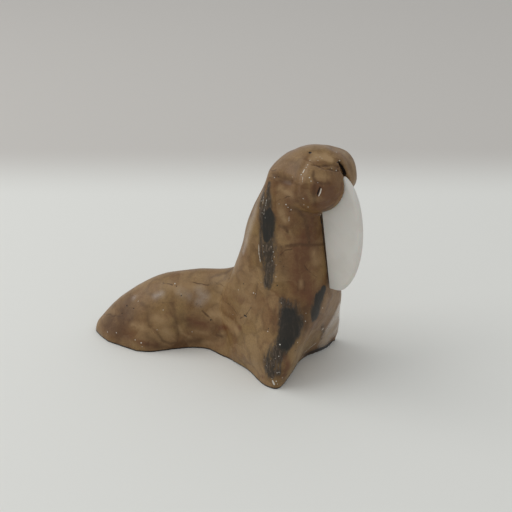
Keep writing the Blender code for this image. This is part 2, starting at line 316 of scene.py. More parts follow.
NECK_MARKS = (
    *strokes(Layer.DARK, (
        ("neck stripe", 1.15, (269.8, 209, 0.7), (269.8, 214, 1.9), (269.2, 219, 3.0),
         (268.2, 226, 3.3), (267.0, 233, 2.7), (266.0, 239, 1.6)),
    )),
    *strokes(Layer.WORN, (
        ("neck stripe's top", 1.2, (269, 183, 0.9), (267.6, 191, 1.7), (266.6, 200, 2.6),
         (266, 210, 3.0), (266, 220, 3.2)),
        ("neck stripe's foot", 1.25, (267, 234, 3.8), (268, 246, 4.6), (268.2, 258, 4.5),
         (268.2, 270, 3.8), (267.8, 279, 3.0), (267.2, 286, 2.0)),
        ("core of that foot", 1.5, (263.6, 244, 1.0), (264.4, 256, 1.0)),
        ("second core of that foot", 1.5, (272, 248, 1.0), (272, 258, 1.1), (270.4, 270, 1.2),
         (268.8, 282, 0.9)),
        ("stripe's scratched edge", 0.85, (264.6, 188, 1.1), (262.4, 198, 1.7), (261.4, 212, 1.7),
         (261.2, 230, 1.5), (262, 248, 1.5)),
    )),
    *strokes(Layer.SHADE, (
        ("blur round the stripe", 0.42, (266, 200, 3.0), (266, 216, 4.0), (267, 234, 4.0),
         (268, 256, 4.0), (268, 278, 3.2)),
        ("veil along the stripe", 0.6, (262, 196, 1.6), (260, 215, 1.5), (261, 240, 1.5),
         (263, 262, 1.7), (266, 284, 1.7), (268, 295, 2.2)),
        ("upper chest crack", 1.1, (280, 226, 0.9), (285, 228, 1.1), (288, 233, 0.8)),
        ("long chest vein", 0.85, (290, 207, 1.4), (298.6, 210.6, 1.7), (304.6, 218, 1.8),
         (307.4, 228, 1.7), (308.8, 240, 1.5), (309, 246, 1.2)),
        ("cell beside the plate", 0.5, (313, 218, 4.0), (316, 230, 4.0)),
        ("dusk on the lower chest", 0.6, (281, 248, 2.2), (282, 264, 3.2), (283, 280, 3.6),
         (283, 294, 2.6)),
        ("red chest line", 0.95, (286, 246, 0.9), (300, 244.6, 1.1), (309, 245, 1.1),
         (323, 244.4, 0.9)),
        ("core of the red line", 1.1, (290, 245, 0.6), (300, 244, 0.8), (309, 245, 0.8),
         (322, 244.6, 0.6)),
        ("dark core of that patch", 0.45, (295, 252, 1.8), (298, 266, 2.0)),
        ("shaded chest", 0.36, (314, 216, 5.0), (310, 240, 6.0), (302, 262, 6.0), (300, 290, 5.0)),
        ("oval's near side", 0.8, (297.8, 282, 0.8), (298, 290, 0.9)),
        ("oval's far side", 0.8, (304.4, 282, 0.8), (304.6, 290, 0.9)),
        ("purple over the patch", 0.75, (294, 301, 2.2), (306, 306, 2.6)),
        ("purple beside the patch", 1.15, (304.5, 308, 2.6), (306.4, 320, 3.2), (305, 332, 2.6)),
        ("edge of the back cell", 0.9, (257, 284, 0.7), (255, 298, 0.7)),
    )),
    *strokes(Layer.DUST, (
        # Painted sheen along the nape's edge, which catches the light.
        ("dust down the nape", 0.6, (263.6, 190, 1.0), (257, 203, 2.0), (252, 219, 2.4),
         (247.4, 236, 2.2), (243, 252, 1.6)),
    )),
    *strokes(Layer.PALE, (
        # Painted light on the back of the neck, which faces the light.
        ("light back of the neck", 0.5, (257, 208, 2.4), (252, 224, 3.0), (247, 242, 3.0)),
        ("light upper chest", 0.8, (281, 212, 2.2), (285, 220, 2.6)),
        ("light beside the stripe", 0.35, (281, 208, 1.4), (281, 222, 1.6), (281, 236, 1.4)),
        ("light chest cell", 0.65, (314, 253, 2.4), (316, 262, 2.6)),
        ("light oval", 0.5, (301, 281.6, 1.6), (301, 286, 1.6)),
        ("light back cell", 0.45, (246, 268, 2.6), (254, 280, 2.8), (250, 292, 2.4)),
    )),
    *strokes(Layer.CHIP, (
        # Painted highlight along a ridge of the neck.
        ("ridge beside the stripe", 0.72, (258.6, 245, 0.26), (258.8, 253, 0.3),
         (260.2, 262, 0.26)),
        ("first scratch", 0.75, (263.6, 196, 0.2), (262.8, 204, 0.2)),
        ("second scratch", 0.75, (266.6, 199, 0.2), (265.4, 207, 0.2)),
        ("third scratch", 0.7, (264.2, 208, 0.2), (263.6, 215, 0.2)),
        ("fourth scratch", 0.7, (258, 280, 0.18), (261, 283, 0.18)),
        ("pale chip below the cheek", 0.7, (289, 217, 0.25), (289, 221, 0.25)),
    )),
    *strokes(Layer.PIT_AND_SHADOW, (
        # Painted shade on the far side of that ridge.
        ("edge of that ridge", 0.8, (260.8, 246, 0.24), (261, 260, 0.24)),
    )),
    *strokes(Layer.CRACK, (
        ("shoulder crack", 1.0, (276.6, 201.4, 0.32), (281, 198.6, 0.36), (290, 197, 0.32)),
        ("mid chest crack", 1.0, (281, 255, 0.32), (285, 251, 0.36), (291, 249, 0.32)),
        ("core of the long vein", 0.75, (298, 210.4, 0.5), (305, 218.6, 0.7), (308.2, 228, 0.8),
         (309.4, 242, 0.6)),
    )),
    *strokes(Layer.RUDDY, (
        ("shade at that crack", 0.7, (279, 226, 1.3), (287, 231, 1.5)),
        ("dusk on the upper chest", 0.6, (281, 230, 2.6), (289, 238, 2.8)),
        ("red chest patch", 1.0, (297, 250, 3.0), (297, 264, 3.2), (298, 281, 3.0)),
        ("brown chest", 0.95, (312, 222, 6.0), (306, 240, 7.5), (304, 262, 8.0), (306, 285, 7.5),
         (308, 300, 6.0)),
        ("red chest foot", 0.8, (296, 280, 1.8), (314, 281, 2.0)),
    )),
    Mark("low chest crack", Layer.CRACK, ((305, 265, 0.34), (306.4, 269, 0.4),
         (312, 273, 0.38), (317, 277, 0.3)), depth=0.05),
    *dots("neck chip", Layer.CHIP, (
        (286, 204.6, 0.38), (288, 207.4, 0.26), (291, 209.8, 0.3), (279, 204, 0.2),
        (289, 221, 0.2), (271, 247, 0.24), (273, 252, 0.28), (274.2, 257, 0.24),
        (272, 261, 0.26), (276, 265, 0.22), (263, 246, 0.24), (263.6, 252, 0.24),
        (253, 293, 0.38), (238, 290, 0.28), (255, 294, 0.24), (261, 201, 0.24),
        (259.6, 208, 0.22), (265, 218, 0.2), (262, 213, 0.22), (276, 277, 0.22)),
        depth=0.05),
    *dots("neck pit", Layer.PIT_AND_SHADOW, ((290, 211.6, 0.32), (277, 285.5, 0.45), (243, 284, 0.35),
          (281, 247, 0.25), (280, 262, 0.25), (283.6, 267, 0.25)), depth=0.15),
)

FLIPPER_MARKS = (
    *strokes(Layer.DARK, (
        ("near flipper's dark patch", 1.2, (287, 315.4, 3.2), (288.4, 320, 4.9), (289.0, 327, 5.5),
         (288.2, 334, 5.3), (286.2, 339, 4.7), (285.4, 343.5, 3.7)),
        ("far flipper's dark patch", 1.0, (324.0, 289.5, 1.9), (321.0, 295, 3.0),
         (318.4, 301, 3.8), (316.6, 309, 3.8), (315.8, 316, 3.1)),
    )),
    *strokes(Layer.WORN, (
        ("near patch's thin top", 1.05, (282.6, 302, 2.4), (286, 306, 4.2), (289.6, 311, 5.2)),
        ("near patch's thin side", 0.95, (300, 317, 2.2), (301, 326, 2.4), (298, 336, 2.0)),
        ("patch's scratched tail", 1.3, (286.6, 345, 3.2), (279.6, 348.6, 4.6), (275, 355.4, 5.0),
         (271.8, 363, 5.0), (270.4, 370, 4.4)),
        ("dark end of that tail", 1.5, (267, 369, 2.4), (269, 374, 2.4), (276, 372, 2.4)),
    )),
    *strokes(Layer.SHADE, (
        ("blur round the near patch", 0.7, (288, 310, 5.4), (290.4, 322, 6.4), (289, 336, 6.0),
         (286, 347, 4.4)),
        ("purple above the near patch", 0.9, (294, 308, 3.4), (302, 312, 3.0), (304.6, 318, 2.4)),
        ("patch's thin top", 0.8, (283, 298, 2.0), (286, 305, 3.0)),
        ("dusk on the near toe", 1.05, (266, 362, 5.0), (271, 370, 5.6), (279, 374, 4.6)),
        ("veil over that tail", 0.9, (278, 350, 3.4), (271, 371, 3.8)),
        ("blur round the far patch", 0.6, (322, 291, 2.8), (318, 302, 4.4), (317, 316, 3.8)),
        ("between the patches", 0.7, (309, 308, 1.8), (310, 322, 1.8)),
        # Painted shade that dims a highlight along the fold of the chest's foot.
        ("fold of the chest's foot", 0.5, (315.6, 320, 1.5), (311, 331, 1.8), (306, 342, 1.6),
         (302.4, 351, 1.2)),
        ("dusk beside the patch", 0.75, (274, 311, 1.6), (273, 322, 2.0), (273.4, 334, 1.6)),
        # Painted shade in the undercut below the far toe.
        ("undercut of the far toe", 1.8, (304, 355.4, 1.4), (311, 352, 2.2), (318, 349.2, 2.4),
         (326, 346.4, 2.4), (332, 341.6, 1.8)),
        # Painted shadow below the pit beside the large chip.
        ("dark trail by the chip", 1.4, (322.4, 325, 1.2), (323.4, 332, 1.7), (321.6, 339, 1.2)),
    )),
    *strokes(Layer.CRACK, (
        ("crack above the hole", 1.0, (245.6, 315, 0.4), (248, 311, 0.4), (250.6, 307.6, 0.4)),
        ("crack behind the hole", 1.0, (244, 316.6, 0.36), (240, 318, 0.36)),
    )),
    *strokes(Layer.RUDDY, (
        ("flipper's red side", 0.95, (283, 356, 2.4), (288, 366, 2.6), (284, 376, 2.2)),
        ("red hem of the patch", 0.5, (275.6, 306, 1.0), (275.4, 330, 1.0)),
        ("orange toe", 0.9, (262, 377, 1.0)),
    )),
    *strokes(Layer.PALE, (
        # Painted light on the chest below the plate.
        ("chest under the plate", 0.22, (334, 294, 4.5), (331, 303, 5.5)),
        # Painted reflection of the pale floor on the far flipper's face, which turns down towards
        # it.
        ("light cell of that face", 0.6, (338.6, 308, 2.6), (336, 318, 5.4), (333.4, 327, 7.4),
         (329, 336, 6.4)),
        ("light foot of the chest", 0.3, (303, 332, 1.4), (311, 338, 2.4)),
    )),
    *strokes(Layer.DUST, (
        # Painted reflection of the floor on the far flipper's face, with a glossier finish there.
        ("far flipper's face", 1.35, (338.6, 308, 2.6), (336.8, 316, 4.8), (334, 325, 7.2),
         (330.6, 334, 6.8), (325.6, 341, 4.8)),
    )),
    *strokes(Layer.PIT_AND_SHADOW, (
        ("shadow of that undercut", 0.85, (305, 355.6, 0.7), (311, 352.4, 1.2), (318, 349.6, 1.4),
         (326, 346.8, 1.4), (332.2, 341.8, 0.9)),
    )),
    *strokes(Layer.CHIP, (
        # Painted highlight along the chest's sharp lower edge.
        ("chest's bare edge", 0.85, (304.6, 353, 0.34), (310, 348, 0.38), (316, 343.4, 0.34)),
    )),
    Mark("hole behind the flipper", Layer.PIT_AND_SHADOW, ((244, 315.6, 0.5), (245.6, 316.6, 0.55)),
         depth=0.4),
    Mark("scoop before the far flipper", Layer.SHADE, ((317, 324, 4.6), (310, 338, 4.0)),
         strength=0.2, depth=0.2),
    Mark("toe's broken edge", Layer.CHIP, ((272.4, 381.2, 0.5), (274, 384.6, 0.6)), depth=0.12),
    *dots("toe chip", Layer.CHIP, ((276.2, 381.6, 0.42), (277.6, 384.4, 0.3), (271.6, 379, 0.24)),
          depth=0.1),
    *dots("flipper chip", Layer.CHIP, (
        (279.7, 344.6, 0.42), (298, 342.6, 0.4), (301.5, 352, 0.3), (303, 356.4, 0.36),
        (278.7, 356.5, 0.32), (305.8, 321.4, 0.34), (306.2, 313.4, 0.24), (323, 308, 0.45),
        (323, 329.5, 0.95), (282.5, 378, 0.3), (277, 373, 0.3), (279, 372.5, 0.26),
        (263.6, 360, 0.22), (266, 366, 0.24), (270, 361, 0.24), (273, 366, 0.22),
        (275, 359, 0.22), (281, 303, 0.2), (279, 319, 0.2),
        (232.5, 314.6, 0.24), (267.5, 331.4, 0.3)), depth=0.05),
    *dots("flipper pit", Layer.PIT_AND_SHADOW, (
        (264, 357, 0.3), (265, 363, 0.28), (264.6, 369, 0.34), (267, 372.4, 0.34),
        (269, 364, 0.26), (272, 370, 0.28), (278, 372, 0.28), (296, 350.5, 0.36),
        (268, 328.6, 0.36), (321.6, 327.2, 0.8), (324, 332.2, 0.9), (307.4, 323, 0.24),
        (292, 364, 0.2), (286, 375, 0.24)), depth=0.12),
)

TAIL_MARKS = (
    *strokes(Layer.CRACK, (
        ("long tail streak", 0.85, (103, 314, 0.6), (112, 315, 0.7), (122, 317, 0.6)),
        ("short tail streak", 0.85, (123.5, 319, 0.5), (123.5, 326, 0.5)),
        ("line over the tail", 1.0, (163, 282.6, 0.4), (172, 284.5, 0.4)),
        ("line in the tail", 0.8, (162, 302.6, 0.36), (177, 302.4, 0.36)),
        ("first back crack", 1.0, (193, 282, 0.34), (203, 283.4, 0.4), (209.4, 285, 0.36)),
        ("second back crack", 0.8, (215, 282, 0.34), (230, 290, 0.34)),
        ("third back crack", 1.0, (221, 294, 0.34), (229, 304, 0.38), (237, 314, 0.34)),
        ("red line on the haunch", 0.9, (202, 311, 0.6), (212, 320, 0.7)),
        ("second dark dash", 0.7, (222, 304, 0.4), (222, 310, 0.4)),
    )),
    *strokes(Layer.SHADE, (
        ("tail vein", 0.66, (172, 303, 1.2), (175, 313, 1.5), (176.6, 324, 1.6), (178, 334, 1.4),
         (177.4, 342, 1.1)),
        ("core of the tail vein", 0.8, (174, 314, 0.7), (177.4, 325, 0.8), (178.4, 335, 0.8),
         (177.4, 342, 0.7)),
        ("tail vein's loop", 0.85, (158, 334, 0.8), (162.6, 341, 1.0), (170, 344, 1.0),
         (177.4, 342, 0.9)),
        ("dusk before the tip", 0.75, (128, 298, 4.6), (126, 308, 5.4), (130, 320, 4.6)),
        ("dark band by the tip", 0.6, (141, 303, 1.4), (148, 310, 1.6)),
        ("shade round the tan cell", 0.5, (147, 313, 0.8), (149, 325, 0.8), (157, 333, 0.8)),
        ("purple middle", 0.6, (181, 316, 3.0), (188, 324, 3.0)),
        ("dark tail tip", 1.0, (108, 322, 5.5), (120, 330, 6.0), (122, 312, 5.0)),
        ("dark under the tan cells", 0.6, (146, 336, 2.6), (160, 345, 2.4)),
        ("purple hem", 0.85, (148, 345, 2.2), (170, 348, 1.8), (188, 342, 3.0), (200, 341, 2.4)),
        ("dark dash", 0.9, (217, 335, 0.9), (222, 337, 0.9)),
    )),
    *strokes(Layer.PALE, (
        ("light top of the back", 0.62, (170, 287, 4.0), (186, 286, 4.4), (202, 288, 4.0)),
        ("light flank", 0.5, (214, 300, 4.0), (226, 308, 4.4)),
        ("tan cell", 0.66, (156.6, 318.6, 4.0), (163, 321, 4.0)),
        ("lower tan cell", 0.7, (165, 330, 2.8), (170, 336, 2.6)),
        ("near tan cell", 0.7, (133, 325, 2.4), (142, 327, 2.6)),
        ("pale crescent", 0.6, (178.5, 326, 1.0), (182, 333, 1.1), (189, 337, 0.9)),
        ("orange cell", 0.5, (196, 332, 1.8), (206, 333, 1.8)),
        ("light haunch cell", 0.9, (212, 315, 3.2), (224, 319, 3.6), (236, 330, 3.4)),
        ("light back", 0.42, (206, 300, 7.0), (232, 284, 7.0), (250, 300, 6.0)),
        ("light hem cell", 0.5, (203, 343, 1.6), (214, 344, 1.8)),
    )),
    *strokes(Layer.DUST, (
        ("whitish bloom", 0.6, (199, 290, 3.4), (204, 296, 3.6), (199, 302, 3.2)),
        ("middle bloom", 0.45, (180, 292, 3.6), (189, 296, 3.8)),
        ("tail tip bloom", 0.4, (134, 297.5, 2.2)),
        ("pink bloom", 0.5, (155, 296, 2.6), (161, 294, 2.6)),
    )),
    *strokes(Layer.RUDDY, (
        ("red tail tip", 0.6, (110, 326, 5.0), (128, 338, 5.0)),
        ("red haunch", 0.8, (190, 320, 3.4), (204, 326, 3.4)),
        ("red streak", 1.0, (220, 328, 1.6), (240, 328, 1.6)),
        ("red hem", 0.8, (138, 342, 2.0), (156, 345, 2.0)),
    )),
    *dots("tail chip", Layer.CHIP, (
        (107, 332, 0.4), (116, 332.6, 0.28), (135, 340, 0.32), (141, 343, 0.42),
        (142, 347, 0.26), (138, 301, 0.3), (174.8, 283.4, 0.4), (192, 332, 0.3),
        (157, 330, 0.24), (163, 310, 0.24), (181, 294, 0.24)), depth=0.05),
    *dots("tail pit", Layer.PIT_AND_SHADOW, (
        (126.6, 305.6, 0.5), (133.4, 308.5, 0.4), (121.8, 313.5, 0.38), (181.4, 295.4, 0.36),
        (176.6, 286, 0.36), (210.6, 320, 0.48), (197, 304, 0.3), (201, 307, 0.3),
        (208, 285, 0.28)), depth=0.18),
)


HIDDEN = (
    Scatter("far chip", Layer.CHIP, 26, 0.32, depth=0.08),
    Scatter("far pit", Layer.PIT_AND_SHADOW, 20, 0.36, depth=0.15),
    Scatter("far crack", Layer.CRACK, 9, 0.45, 9.0, strength=0.9),
    Scatter("far vein", Layer.SHADE, 7, 1.5, 12.0, strength=0.8),
    Scatter("far stain", Layer.RUDDY, 6, 5.0, 8.0, strength=0.7),
    Scatter("far tan cell", Layer.PALE, 6, 3.6, 3.0, strength=0.8),
    Scatter("far mineral", Layer.DARK, 2, 2.4, 9.0, strength=0.85, upright=True),
)


@dataclass(frozen=True)
class Sight:
    """The camera's place, and how its picture falls on the stone."""

    eye: tuple[float, float, float] = (0.1798, -0.2810, 0.1839)
    aim: tuple[float, float, float] = (-0.0091, 0.0098, 0.0295)
    focal_points: float = 1100.0
    sensor: float = 36.0
    clip: tuple[float, float] = (0.01, 30.0)

    def lens(self) -> float:
        """The focal length in millimetres."""
        return self.focal_points / PICTURE * self.sensor

    def forward(self) -> Vector:
        """The way that the camera looks."""
        return (Vector(self.aim) - Vector(self.eye)).normalized()

    def ways(self) -> tuple[Vector, Vector, Vector]:
        """The picture's ways right, up and ahead."""
        ahead = self.forward()
        right = ahead.cross(Vector((0, 0, 1))).normalized()
        return right, right.cross(ahead), ahead

    def onto(self, skin: BVHTree, across: float, down: float) -> Vector:
        """Finds what the camera sees at a place in its picture.

        Args:
            skin: The surface.
            across: How far right in the picture.
            down: How far down in the picture.

        Returns:
            The place on the surface.
        """
        right, above, ahead = self.ways()
        middle = PICTURE / 2
        ray = ahead * self.focal_points + right * (across - middle) + above * (middle - down)
        place = skin.ray_cast(Vector(self.eye), ray.normalized())[0]
        if place is None:
            raise ValueError(f"nothing is seen at {across}, {down}")
        return place

    def pulled(self, points: np.ndarray, pull: Pull) -> np.ndarray:
        """Works out how a pull moves points.

        Args:
            points: The points.
            pull: The pull.

        Returns:
            A move for each point.
        """
        right, above, ahead = (np.array(way) for way in self.ways())
        apart = points - np.array(self.eye)
        scale = self.focal_points / (apart @ ahead)
        across = PICTURE / 2 + apart @ right * scale - pull.place[0]
        down = PICTURE / 2 - apart @ above * scale - pull.place[1]
        share = np.clip(1 - (across**2 + down**2) / pull.reach**2, 0, 1) ** 2 / scale
        lower = -above
        if pull.on_floor:
            lower = np.array((-ahead[0], -ahead[1], 0.0)) / (math.hypot(*ahead[:2]) * -ahead[2])
        return share[:, None] * (right * pull.step[0] + lower * pull.step[1])

    def camera(self) -> bpy.types.Object:
        """Makes the camera.

        Returns:
            The camera's object.
        """
        made = bpy.data.objects.new("camera", bpy.data.cameras.new("camera"))
        made.location = self.eye
        made.rotation_mode = "QUATERNION"
        made.rotation_quaternion = self.forward().to_track_quat("-Z", "Y")
        made.data.sensor_width = self.sensor
        made.data.lens = self.lens()
        made.data.clip_start, made.data.clip_end = self.clip
        bpy.context.scene.collection.objects.link(made)
        bpy.context.scene.camera = made
        return made


class Nodes:
    """Builds one material, node by node."""

    def __init__(self, name: str) -> None:
        """Starts a material that has a plain shader.

        Args:
            name: The material's name.
        """
        self.material = bpy.data.materials.new(name)
        self.material.use_nodes = True
        self.tree = self.material.node_tree
        self.shader = self.tree.nodes["Principled BSDF"]
        self.coordinates = self.tree.nodes.new("ShaderNodeTexCoord").outputs["Object"]

    def put(self, node: bpy.types.Node, values: dict[str | int, object]) -> bpy.types.Node:
        """Fills a node's sockets with values, or links them.

        Args:
            node: The node.
            values: A value or another node's output for each socket.

        Returns:
            The same node.
        """
        for key, value in values.items():
            if isinstance(value, bpy.types.NodeSocket):
                self.tree.links.new(value, node.inputs[key])
            else:
                node.inputs[key].default_value = value
        return node

    def noise(self, size: float, detail: float = 3.0, rough: float = 0.5,
              warp: float = 0.0, where: bpy.types.NodeSocket | None = None) -> bpy.types.NodeSocket:
        """Cloudy noise.

        Args:
            size: How large its clouds are, in metres.
            detail: How many finer layers it has.
            rough: How strong those are.
            warp: How far it is twisted.
            where: The coordinates, or none for the object's own.

        Returns:
            A value about 0.5.
        """
        node = self.tree.nodes.new("ShaderNodeTexNoise")
        self.put(node, {"Vector": where or self.coordinates, "Scale": 1 / size, "Detail": detail,
                        "Roughness": rough, "Distortion": warp})
        return node.outputs[0]

    def stretched(self, scale: tuple[float, float, float]) -> bpy.types.NodeSocket:
        """The object's coordinates, scaled each way, so that a pattern on them is drawn out."""
        node = self.tree.nodes.new("ShaderNodeMapping")
        return self.put(node, {"Vector": self.coordinates, "Scale": scale}).outputs[0]

    def warped(self, size: float, reach: float) -> bpy.types.NodeSocket:
        """The object's coordinates, pushed about by noise.

        Args:
            size: How large the noise's clouds are.
            reach: How far a place is pushed.

        Returns:
            The coordinates.
        """
        cloud = self.tree.nodes.new("ShaderNodeTexNoise")
        self.put(cloud, {"Vector": self.coordinates, "Scale": 1 / size, "Detail": 2.0})
        push = self.tree.nodes.new("ShaderNodeVectorMath")
        push.operation = "MULTIPLY_ADD"
        self.put(push, {0: cloud.outputs[1], 1: (reach,) * 3, 2: self.coordinates})
        return push.outputs[0]

    def cells(self, size: float, where: bpy.types.NodeSocket) -> bpy.types.NodeSocket:
        """Irregular cells, as the distance from the nearest edge between two of them."""
        node = self.tree.nodes.new("ShaderNodeTexVoronoi")
        node.feature = "DISTANCE_TO_EDGE"
        return self.put(node, {"Vector": where, "Scale": 1 / size}).outputs["Distance"]

    def cell_tone(self, size: float, where: bpy.types.NodeSocket) -> bpy.types.NodeSocket:
        """One chance value for each of the same cells."""
        node = self.tree.nodes.new("ShaderNodeTexVoronoi")
        self.put(node, {"Vector": where, "Scale": 1 / size})
        split = self.tree.nodes.new("ShaderNodeSeparateColor")
        return self.put(split, {0: node.outputs["Color"]}).outputs[0]

    def layer(self, layer: Layer) -> bpy.types.NodeSocket:
        """What the marks of one layer left on the stone."""
        node = self.tree.nodes.new("ShaderNodeAttribute")
        node.attribute_name = layer.value
        return node.outputs["Fac"]

    def math(self, operation: str, a: object, b: object = 0.0) -> bpy.types.NodeSocket:
        """A sum or product of two values."""
        node = self.tree.nodes.new("ShaderNodeMath")
        node.operation = operation
        return self.put(node, {0: a, 1: b}).outputs[0]

    def step(self, value: bpy.types.NodeSocket, low: float, high: float,
             to_low: float = 0.0, to_high: float = 1.0) -> bpy.types.NodeSocket:
        """A smooth rise between two values.

        Args:
            value: What is measured.
            low: Where the rise begins.
            high: Where it ends.
            to_low: The result below the rise.
            to_high: The result above it.

        Returns:
            The result.
        """
        node = self.tree.nodes.new("ShaderNodeMapRange")
        node.interpolation_type = "SMOOTHSTEP"
        return self.put(node, {0: value, 1: low, 2: high, 3: to_low, 4: to_high}).outputs[0]

    def mix(self, share: object, under: object, over: object,
            blend: str = "MIX") -> bpy.types.NodeSocket:
        """One colour laid over another.

        Args:
            share: How much of the upper colour shows.
            under: The lower colour.
            over: The upper colour.
            blend: How they are laid.

        Returns:
            The colour.
        """
        node = self.tree.nodes.new("ShaderNodeMix")
        node.data_type = "RGBA"
        node.blend_type = blend
        values = {0: share}
        for socket, colour in ((6, under), (7, over)):
            values[socket] = (*colour, 1.0) if isinstance(colour, tuple) else colour
        return self.put(node, values).outputs[2]

    def bump(self, height: bpy.types.NodeSocket, depth: float,
             strength: float = 1.0) -> bpy.types.NodeSocket:
        """A normal from a height."""
        node = self.tree.nodes.new("ShaderNodeBump")
        return self.put(node, {"Height": height, "Distance": depth,
                               "Strength": strength}).outputs[0]


@dataclass(frozen=True)
class BrownStone:
    """Brown soapstone, waxed to a satin: clouded cells, red veins and near-black mineral.

    Where the sheen layer lies, the colour goes towards a pale tint: painted sheen and reflection
    where the stone catches light, and the stone's own pale blooms on the tail. Its roughness falls
    by the polish there, and its mirroring goes from the first value of mirror to the second.
    """

    olive: Colour = (0.225, 0.136, 0.050)
    umber: Colour = (0.155, 0.076, 0.027)
    # Also the tint of the pale layer, so partly painted light.
    light: Colour = (0.350, 0.228, 0.112)
    # Also the tint of the shade layer, so partly painted shade.
    outline: Colour = (0.080, 0.038, 0.014)
    # Also the tint of the ruddy layer, so partly painted shade on the pad.
    red: Colour = (0.118, 0.040, 0.017)
    # Pale tint of the sheen layer: partly painted sheen and reflection, partly pale blooms.
    dust: Colour = (0.430, 0.375, 0.320)
    mineral: Colour = (0.017, 0.016, 0.013)
    streak: Colour = (0.045, 0.036, 0.029)
    worn: Colour = (0.115, 0.086, 0.066)
    # Tint of chips, also of the painted highlights in the chip layer.
    bare: Colour = (0.600, 0.560, 0.490)
    # Near-black of pits and joints, also used for painted shadow in grooves, undercuts and the hem.
    hole: Colour = (0.014, 0.010, 0.008)
    cloud: float = 15 * MM
    cell: float = 6.0 * MM
    speck: float = 0.55 * MM
    roughness: tuple[float, float] = (0.34, 0.48)
    mirror: tuple[float, float] = (0.28, 1.0)
    sheen_share: tuple[float, float] = (0.05, 0.7)
    polish: float = 0.26
    relief: float = 0.10 * MM
    # Heights of the painted contact shadow along the stone's foot.
    hem: tuple[float, float] = (0.30 * MM, 0.65 * MM)

    def build(self) -> bpy.types.Material:
        """Makes the material.

        Returns:
            The material.
        """
        nodes = Nodes("brown_stone_waxed")
        colour = self.clouds(nodes)
        blotch = nodes.step(nodes.noise(2.2 * MM, 4.0, 0.6, 0.5), 0.30, 0.66, 0.66, 1.16)
        # The ruddy and shade tints include painted shade, the pale tint includes painted light, and
        # the sheen tint includes painted sheen and reflection.
        for layer, tint, most in ((Layer.RUDDY, self.red, 0.74), (Layer.SHADE, self.outline, 0.70),
                                  (Layer.PALE, self.light, 0.85), (Layer.DUST, self.dust, 0.30)):
            share = nodes.step(nodes.math("MULTIPLY", nodes.layer(layer), blotch), 0.0, 0.95,
                               0.0, most)
            colour = nodes.mix(share, colour, tint)
        fine = nodes.noise(0.5 * MM, 3.0)
        broken = nodes.step(nodes.noise(1.8 * MM, 3.0, 0.6), 0.30, 0.62, 0.35, 1.15)
        line = nodes.math("MULTIPLY", nodes.layer(Layer.CRACK), broken)
        line = nodes.math("ADD", line, nodes.math("MULTIPLY", fine, 0.25))
        colour = nodes.mix(nodes.step(line, 0.30, 1.05, 0.0, 0.9), colour, self.outline)
        colour = self.worn_mineral(nodes, colour)
        colour = self.dark(nodes, colour)
        # Painted contact shadow: the lowest band of the stone goes near-black, fading out upwards.
        height = nodes.tree.nodes.new("ShaderNodeSeparateXYZ")
        hem = nodes.step(nodes.put(height, {0: nodes.coordinates}).outputs[2], *self.hem, 0.92, 0.0)
        colour = nodes.mix(hem, colour, self.hole)
        # Chips and painted highlights go pale where the chip layer is strong.
        chipped_and_glint = nodes.math("ADD", nodes.layer(Layer.CHIP), nodes.math("MULTIPLY", fine, 0.5))
        bare = nodes.step(chipped_and_glint, 0.62, 0.82)
        colour = nodes.mix(bare, colour, self.bare)
        # Pits, joints and painted shadow go near-black where the pit layer is strong.
        pitted_and_shadowed = nodes.math("ADD", nodes.layer(Layer.PIT_AND_SHADOW), nodes.math("MULTIPLY", fine, 0.5))
        colour = nodes.mix(nodes.step(pitted_and_shadowed, 0.60, 0.85), colour, self.hole)
        gloss = nodes.step(nodes.noise(2.5 * MM, 4.0, 0.6), 0.3, 0.7, *self.roughness)
        gloss = nodes.math("ADD", gloss, nodes.math("MULTIPLY", bare, 0.25))
        sheen_share = nodes.step(nodes.layer(Layer.DUST), *self.sheen_share)
        gloss = nodes.math("SUBTRACT", gloss, nodes.math("MULTIPLY", sheen_share, self.polish))
        mirror = nodes.step(nodes.layer(Layer.DUST), *self.sheen_share, *self.mirror)
        scratches = nodes.noise(0.35 * MM, 2.0, where=nodes.stretched((1.0, 1.0, 0.3)))
        relief = nodes.math("ADD", nodes.noise(2.0 * MM, 4.0, 0.55),
                            nodes.math("MULTIPLY", scratches, 0.16))
        nodes.put(nodes.shader, {"Base Color": colour, "Roughness": gloss, "IOR": 1.5,
                                 "Specular IOR Level": mirror,
                                 "Normal": nodes.bump(relief, self.relief, 0.7)})
        return nodes.material

    def clouds(self, nodes: Nodes) -> bpy.types.NodeSocket:
        """The plain stone's colour.

        Args:
            nodes: The material in the making.

        Returns:
            The colour.
        """
        broad = nodes.step(nodes.noise(self.cloud, 4.0, 0.55, 0.4), 0.36, 0.64)
        colour = nodes.mix(broad, self.umber, self.olive)
        pushed = nodes.warped(5.0 * MM, 5.0 * MM)
        tone = nodes.step(nodes.cell_tone(self.cell, pushed), 0.1, 0.9, 0.0, 0.34)
        colour = nodes.mix(tone, colour, self.light)
        edge = nodes.cells(self.cell, pushed)
        soft = nodes.step(edge, 0.0, 0.22, 1.0, 0.0)
        patchy = nodes.step(nodes.noise(8 * MM, 3.0), 0.42, 0.62, 0.04, 0.38)
        colour = nodes.mix(nodes.math("MULTIPLY", soft, patchy), colour, self.outline)
        mottle = nodes.step(nodes.noise(2.4 * MM, 5.0, 0.62, 0.6), 0.40, 0.70)
        colour = nodes.mix(nodes.math("MULTIPLY", mottle, 0.16), colour, self.light)
        reddish = nodes.step(nodes.noise(6 * MM, 4.0, 0.6, 1.2), 0.54, 0.74)
        colour = nodes.mix(nodes.math("MULTIPLY", reddish, 0.40), colour, self.red)
        grain = nodes.step(nodes.noise(self.speck, 3.0, 0.7), 0.25, 0.75, 0.86, 1.14)
        return nodes.mix(1.0, colour, self.grey(nodes, grain), "MULTIPLY")

